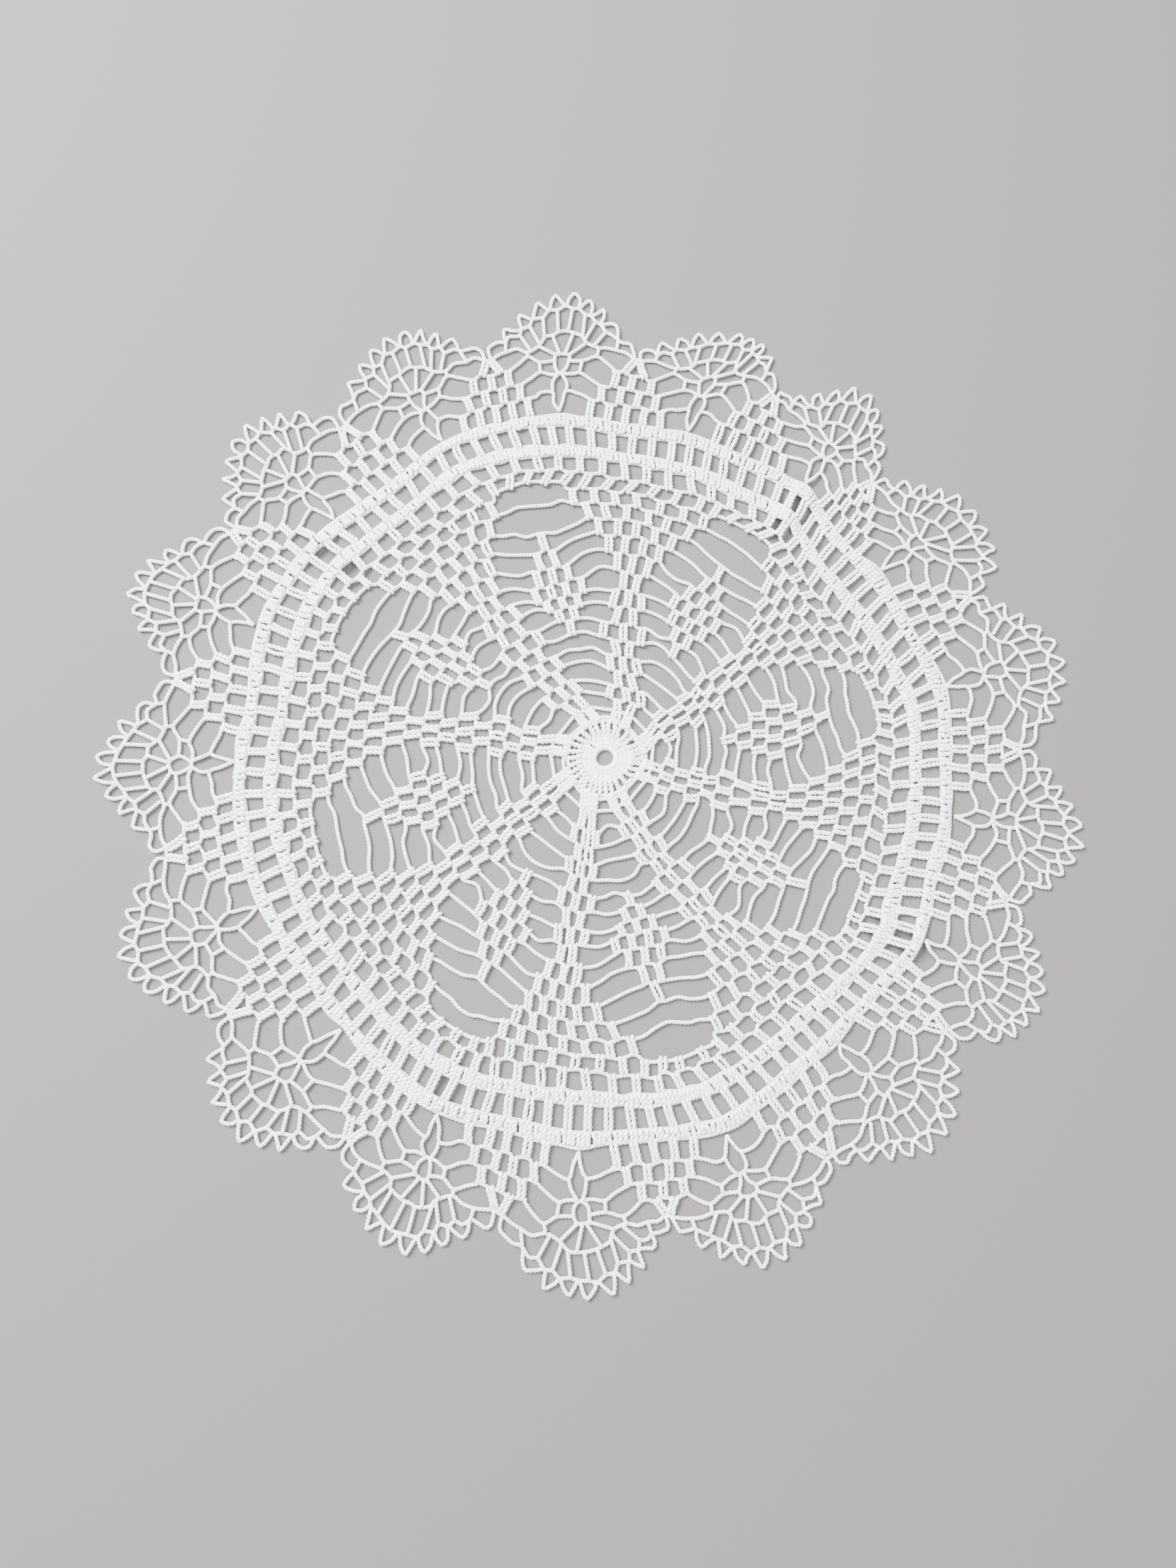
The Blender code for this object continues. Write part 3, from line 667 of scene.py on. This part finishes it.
def ring_chain(name):
    """Return a round's ring of chain, through its pairs' tops and the next round's feet.

    Where the chain hangs free, more places are put in on the ring's own level. The run bows in
    or out, and each place is pulled a little out of line.
    """
    on_spoke, between, count, pitch, diamond, diamond_pitch = ROUNDS[name]
    angles, radii = feet_above(name)
    angles, radii = [angles], [radii + PULL_OUT]
    for number in range(SPOKES):
        for middle_angle, stitches, step, radius in (
            (spoke_angle(number), count, pitch, on_spoke),
            (sector_angle(number), diamond, diamond_pitch, between),
        ):
            tops = middle_angle + spread(stitches, step, radius)
            corner = np.degrees(CORNER / radius)
            angles += [tops + corner, tops - corner]
            radii += [np.full(2 * stitches, radius)]
    angles, radii = np.concatenate(angles), np.concatenate(radii)
    order = np.argsort(-angles)
    angles, radii = angles[order], radii[order]
    stretch = np.radians(angles - np.append(angles[1:], angles[0] - FULL_TURN)) * radii
    slack = np.zeros(len(angles))
    for number in np.flatnonzero(stretch > FREE_CHAIN)[::-1]:
        extra = int(stretch[number] / FREE_STEP)
        share = np.arange(1, extra) / extra
        last = number + 1 == len(angles)
        start, finish = angles[number], angles[0] - FULL_TURN if last else angles[number + 1]
        start_radius, finish_radius = radii[number], radii[0] if last else radii[number + 1]
        at = start + (finish - start) * share
        direct = start_radius * (1 - share) + finish_radius * share
        straight = level_between(name, start) * (1 - share) + level_between(name, finish) * share
        new = direct + level_between(name, at) - straight
        angles, radii = np.insert(angles, number + 1, at), np.insert(radii, number + 1, new)
        hang = chance.normal(0.0, SAG) * (1 - (2 * share - 1) ** 2)
        slack = np.insert(slack, number + 1, hang + chance.normal(0.0, SLACK, extra - 1))
    return chain(place(angles, radii), closed=True, slack=slack * np.exp(1j * np.radians(angles)))


def wheel_round(name):
    """Return a round's pairs of stitches and its ring of chain."""
    kinds = ("spoke", "diamond")
    found = [pairs_on(name, kind, number) for kind in kinds for number in range(SPOKES)]
    feet, tops = (np.concatenate(column) for column in zip(*found))
    return [tall_stitches(feet, tops), ring_chain(name)]


inner_wheel = crocheted(
    "inner_wheel",
    [ring_chain("R")] + [surface for name in "QPONMLKJ" for surface in wheel_round(name)],
)
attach(inner_wheel, "root")
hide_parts("lace_doily")
outer_wheel = crocheted(
    "outer_wheel", [surface for name in "IHGFED" for surface in wheel_round(name)]
)
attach(outer_wheel, "root")
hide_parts("lace_doily")

# -------------------------------------------------------------------------------------------------
# The net. Two rounds of paired stitches, eighty-eight pairs in each, that even out the wheel's
# edge into a plain ring before the solid bands.
# -------------------------------------------------------------------------------------------------
NET_PAIRS = 88
NET_STEP = FULL_TURN / NET_PAIRS
NET_START = 2.5             # the first pair stands this many pitches before the first spoke
NET_TOP = 102.1
NET_MIDDLE, NET_RISE = 95.3, 1.9    # radius on a spoke, and its rise between spokes
# How far the net has slipped round, clockwise: at pair number, by degrees
NET_SLIP = {
    0: -0.6, 5: -0.4, 9: 2.1, 14: 1.9, 18: 1.5, 19: 2.3, 22: 1.1, 25: 2.1, 29: 0.4, 32: 2.0,
    37: 1.9, 41: 0.0, 46: 0.9, 51: -0.4, 57: 0.7, 62: 0.0, 64: 0.9, 70: 0.5, 74: -0.1, 84: -0.9,
    88: -0.6,
}

net_numbers = np.arange(NET_PAIRS)
net_feet, net_foot_radii = feet_above("D")
net_slip = np.interp(net_numbers, list(NET_SLIP), list(NET_SLIP.values()))
even_angles = FIRST_SPOKE + NET_START * NET_STEP - net_numbers * NET_STEP
net_tops = (net_feet + even_angles) / 2 - net_slip
second_feet = (net_tops + np.append(net_tops[1:], net_tops[0] - FULL_TURN)) / 2
second_tops = even_angles - NET_STEP / 2 - net_slip


def net_level(angles):
    """Return the radius of the chain between the two rounds, which rises between spokes."""
    return NET_MIDDLE + NET_RISE * swing(angles)


corner = np.degrees(CORNER / NET_MIDDLE)
chain_angles = np.concatenate([net_tops + corner, net_tops - corner, second_feet])
chain_radii = net_level(chain_angles) + np.repeat([0.0, 0.0, PULL_OUT], NET_PAIRS)
clockwise = np.argsort(-chain_angles)
net = crocheted("net_rounds", [
    tall_stitches(place(net_feet, net_foot_radii), place(net_tops, net_level(net_tops))),
    chain(place(chain_angles, chain_radii)[clockwise], closed=True),
    tall_stitches(place(second_feet, net_level(second_feet)), place(second_tops, NET_TOP)),
    chain(whole_ring(NET_TOP, 2 * NET_PAIRS), closed=True),
])
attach(net, "root")
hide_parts("lace_doily")

# -------------------------------------------------------------------------------------------------
# The bands. Two solid rounds of tall stitches worked close together, with a ladder of pairs
# between them. They hold the doily round, and pucker where they were worked tight.
# -------------------------------------------------------------------------------------------------
LADDER_PAIRS = 110
LADDER_FIRST = 178.836      # degrees
INNER_BAND_TOP, OUTER_BAND_FOOT, OUTER_BAND_TOP = 105.35, 111.85, 114.85
INNER_BAND_STITCHES, OUTER_BAND_STITCHES = 440, 476
BAND_LOOKS = {"half": 0.8, "stations": 8, "swell": 0.12}    # short, full and close together
# How far the ladder has slipped round, counter-clockwise: at pair number, by degrees
LADDER_SLIP = {
    0: -0.5, 10: -1.0, 20: -2.3, 30: -4.4, 36: -4.3, 40: -3.1, 44: -4.4, 50: -4.1, 60: -3.9,
    70: -2.0, 80: -1.3, 90: -0.8, 100: -1.2, 110: -0.5,
}

ladder_numbers = np.arange(LADDER_PAIRS)
ladder_slip = np.interp(ladder_numbers, list(LADDER_SLIP), list(LADDER_SLIP.values()))
ladder_angles = LADDER_FIRST - ladder_numbers * FULL_TURN / LADDER_PAIRS + ladder_slip
bands = crocheted("bands_and_ladder", [
    round_of_stitches(INNER_BAND_STITCHES, NET_TOP, INNER_BAND_TOP, **BAND_LOOKS),
    chain(whole_ring(INNER_BAND_TOP, LADDER_PAIRS), closed=True),
    tall_stitches(place(ladder_angles, INNER_BAND_TOP), place(ladder_angles, OUTER_BAND_FOOT)),
    chain(whole_ring(OUTER_BAND_FOOT, LADDER_PAIRS), closed=True),
    round_of_stitches(OUTER_BAND_STITCHES, OUTER_BAND_FOOT, OUTER_BAND_TOP, **BAND_LOOKS),
    chain(whole_ring(OUTER_BAND_TOP, LADDER_PAIRS), closed=True),
])
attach(bands, "root")
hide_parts("lace_doily")

# -------------------------------------------------------------------------------------------------
# The net between fans. Four short rows of paired stitches, five pairs down to two, that fill the
# wedge between each fan and the next.
# -------------------------------------------------------------------------------------------------
# Pairs in the row, their pitch in degrees, height of their tops
WEDGE_ROWS = ((5, 2.72, 4.5), (4, 2.74, 9.9), (3, 2.62, 15.2), (2, 0.6, 20.7))
WEDGE_FOOT_PITCH = 2.9
WEDGE_CORNER = 0.6          # degrees from a pair's middle to where the chain leaves it
WEDGE_TIP = ((-0.7, 0.0, 0.7), (21.1, 21.0, 21.1))     # the last chain: degrees, then heights
WEDGE_MIDDLES = FIRST_FAN - FAN_PITCH * (np.arange(FANS) + 0.5)


def wedge_places(turns, heights):
    """Return places in every wedge, from degrees off its middle and heights above the band."""
    return place(WEDGE_MIDDLES[:, None] - np.asarray(turns), BAND_EDGE + np.asarray(heights))


wedge_surfaces = []
foot_pitch, foot_height = WEDGE_FOOT_PITCH, OUTER_BAND_TOP - BAND_EDGE
for number, (count, pitch, height) in enumerate(WEDGE_ROWS):
    steps = np.arange(count) - (count - 1) / 2
    feet = wedge_places(steps * foot_pitch, np.full(count, foot_height))
    tops = wedge_places(steps * pitch, np.full(count, height))
    wedge_surfaces.append(tall_stitches(feet.ravel(), tops.ravel()))
    if number + 1 < len(WEDGE_ROWS):
        above = WEDGE_ROWS[number + 1][0]
        corners = (-WEDGE_CORNER, WEDGE_CORNER)
        row = [(step * pitch + side, height) for step in steps for side in corners]
        row += [((step - (above - 1) / 2) * pitch, height + PULL_OUT) for step in range(above)]
        wedge_surfaces.append(chain(wedge_places(*np.array(sorted(row)).T)))
    foot_pitch, foot_height = pitch, height
wedge_surfaces.append(chain(wedge_places(*WEDGE_TIP)))
wedges = crocheted("wedges_between_fans", wedge_surfaces)
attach(wedges, "root")
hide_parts("lace_doily")

# -------------------------------------------------------------------------------------------------
# The fans. Seventeen, each built on one foot: two chains that part to a narrow leaf, an eye above
# it, and rays of chain in two tiers that open out to a scalloped rim.
# -------------------------------------------------------------------------------------------------
FAN_MIDDLES = FIRST_FAN - FAN_PITCH * np.arange(FANS)


def fan_lines(points, both_sides=True):
    """Return lines of places in every fan, and mirrored, from (degrees, height) pairs."""
    turns, heights = np.array(points).T
    sides = np.array([1, -1] if both_sides else [1])
    turned = FAN_MIDDLES[:, None, None] - sides[:, None] * turns
    return place(turned, BAND_EDGE + heights).reshape(-1, len(turns))


# Lines of a fan's right half, by degrees from its middle and height. First its chains across,
# from the wedge to the middle, then the leaf's closing chain and the eye's side
arches = [
    [(5.1, 4.4), (4.0, 5.3), (2.7, 6.2), (1.2, 6.5), (0.6, 2.6), (0.0, -0.6)],
    [(6.4, 9.7), (4.7, 11.9), (3.05, 13.9), (1.7, 13.5), (0.42, 12.7)],
    [(7.7, 15.3), (6.3, 18.0), (5.05, 20.0), (3.2, 18.0), (1.05, 18.3)],
    [(10.1, 21.2), (9.0, 22.5), (7.9, 23.1), (6.5, 23.3), (5.2, 22.4), (3.5, 24.2), (3.0, 26.2),
     (2.6, 27.5), (1.47, 28.3), (0.8, 29.0), (0.0, 29.4)],
]
leaf_top = [(-0.42, 12.7), (0.0, 12.95), (0.42, 12.7)]
eye_side = [(0.2, 12.9), (0.75, 15.6), (1.1, 18.2), (0.85, 20.4), (0.0, 21.2)]
# Stalks between those chains, from the leaf outwards, and then the rays under the rim
STALK_RISE = 0.25           # they lie over the chains
stalks = [
    [(1.2, 6.5), (1.05, 9.8), (0.42, 12.7)],
    [(3.05, 13.9), (3.2, 18.0)],
    [(5.05, 20.0), (5.2, 22.4)],
    [(0.8, 20.4), (3.5, 24.2)],
    [(0.3, 21.0), (1.47, 28.3)],
]
ray_feet = [(7.9, 23.1), (4.57, 23.1), (3.2, 25.3), (2.8, 27.0), (0.8, 29.1)]
ray_tops = [(7.85, 26.7), (6.1, 28.9), (4.6, 32.0), (2.95, 34.9), (0.97, 37.1)]
stalks += [[foot, top] for foot, top in zip(ray_feet, ray_tops)]

# The rim: over the ray tops, bulging outwards between each two
RIM_BULGE = 0.9
MM_PER_DEGREE = 2.3         # along the edge, at the fans' middle
rim_half = np.array(ray_tops)
rim_points = np.concatenate([rim_half * (-1, 1), rim_half[::-1]])
rim_steps = np.diff(rim_points, axis=0)
outwards = np.stack([-rim_steps[:, 1] / MM_PER_DEGREE, rim_steps[:, 0]], axis=1)
outwards /= np.linalg.norm(outwards, axis=1, keepdims=True)
rim_crests = (rim_points[:-1] + rim_points[1:]) / 2 + outwards * RIM_BULGE / (MM_PER_DEGREE, 1.0)
rim = np.empty((2 * len(rim_points) - 1, 2))
rim[::2], rim[1::2] = rim_points, rim_crests

fans = crocheted(
    "fans",
    [chain(fan_lines(arch)) for arch in arches]
    + [chain(fan_lines(leaf_top, False)), chain(fan_lines(eye_side))]
    + [chain(fan_lines(stalk), rise=STALK_RISE) for stalk in stalks]
    + [chain(fan_lines(rim, False))],
)
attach(fans, "root")
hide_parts("lace_doily")

# -------------------------------------------------------------------------------------------------
# The pointed loops. Ten to a fan, each a short loop of chain drawn to a point and caught down on
# the crest of the rim's scallops. The two beside the dip are plain corners.
# -------------------------------------------------------------------------------------------------
FROM_JOINT, FROM_TIP = (0.45, 0.4), (0.55, 0.6)    # shares that make a loop's side
LOOP_BELLY = (0.12, 0.0)    # how far each side bows outwards
LOOP_RISE = 0.1
half_tips = np.array([(7.6, 32.2), (5.6, 36.6), (3.5, 40.0), (1.35, 42.6)])
tips = np.concatenate([half_tips * (-1, 1), half_tips[::-1]])
joints = np.concatenate([rim_points[:1], rim_crests[1:-1], rim_points[-1:]])
corner = np.array([(10.2, 21.2), (10.1, 24.8), (9.5, 26.6), (8.7, 26.8)])
loop = list(corner * (-1, 1))
for start, finish, tip in zip(joints[:-1], joints[1:], tips):
    loop += [
        start, start * FROM_JOINT + tip * FROM_TIP - LOOP_BELLY,
        tip, finish * FROM_JOINT + tip * FROM_TIP + LOOP_BELLY,
    ]
loop += [joints[-1], *corner[::-1]]
loops = crocheted("pointed_loops", [chain(fan_lines(loop, False), rise=LOOP_RISE)])
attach(loops, "root")
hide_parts("lace_doily")

# -------------------------------------------------------------------------------------------------
# The floor, the light and the camera. A plain pale floor and soft light from large panels, with
# the camera above the near edge, looking almost straight down.
# -------------------------------------------------------------------------------------------------
FLOOR_HALF = 3.0            # half its side, in metres
quarters = ((-1, -1), (1, -1), (1, 1), (-1, 1))
floor_corners = [(x * FLOOR_HALF, y * FLOOR_HALF, 0.0) for x, y in quarters]
floor_mesh = bpy.data.meshes.new("floor")
floor_mesh.from_pydata(floor_corners, [], [(0, 1, 2, 3)])
floor = bpy.data.objects.new("floor", floor_mesh)
bpy.context.scene.collection.objects.link(floor)
floor_paint = bpy.data.materials.new("pale floor")
floor_paint.use_nodes = True
paint_shader = floor_paint.node_tree.nodes["Principled BSDF"]
paint_shader.inputs["Base Color"].default_value = (0.115, 0.111, 0.105, 1)
paint_shader.inputs["Roughness"].default_value = 0.9
floor_mesh.materials.append(floor_paint)

# Name, place in metres, turn in radians, side in metres, watts
PANELS = (
    ("window_light", (-0.7, 0.5, 0.9), (-0.45, -0.62, 0.0), 0.6, 105.0),
    ("sky_light", (0.4, -0.3, 1.3), (0.2, 0.3, 0.0), 1.4, 40.0),
)
for name, spot, turn, size, power in PANELS:
    panel = bpy.data.lights.new(name, "AREA")
    panel.size = size
    panel.energy = power
    lamp = bpy.data.objects.new(name, panel)
    lamp.location = spot
    lamp.rotation_euler = turn
    bpy.context.scene.collection.objects.link(lamp)
world = bpy.data.worlds.new("soft room")
world.use_nodes = True
room_light = world.node_tree.nodes["Background"]
room_light.inputs["Color"].default_value = (0.9, 0.95, 1.0, 1.0)
room_light.inputs["Strength"].default_value = 0.7
bpy.context.scene.world = world

CAMERA_AT = np.array([-16.7, -77.6, 365.4])     # millimetres from the middle ring
CAMERA_RIGHT = np.array([0.99953, -0.00574, 0.03022])
CAMERA_UP = np.array([0.0, 0.98242, 0.18671])
lens = bpy.data.cameras.new("camera")
lens.lens = 27.03
camera = bpy.data.objects.new("camera", lens)
bpy.context.scene.collection.objects.link(camera)
pose = np.eye(4)
pose[:3, 0] = CAMERA_RIGHT
pose[:3, 1] = CAMERA_UP
pose[:3, 2] = np.cross(CAMERA_RIGHT, CAMERA_UP)
pose[:3, 3] = (CAMERA_AT + (RING_AT.real, RING_AT.imag, 0.0)) * MM
camera.matrix_world = Matrix(pose.tolist())
bpy.context.scene.camera = camera
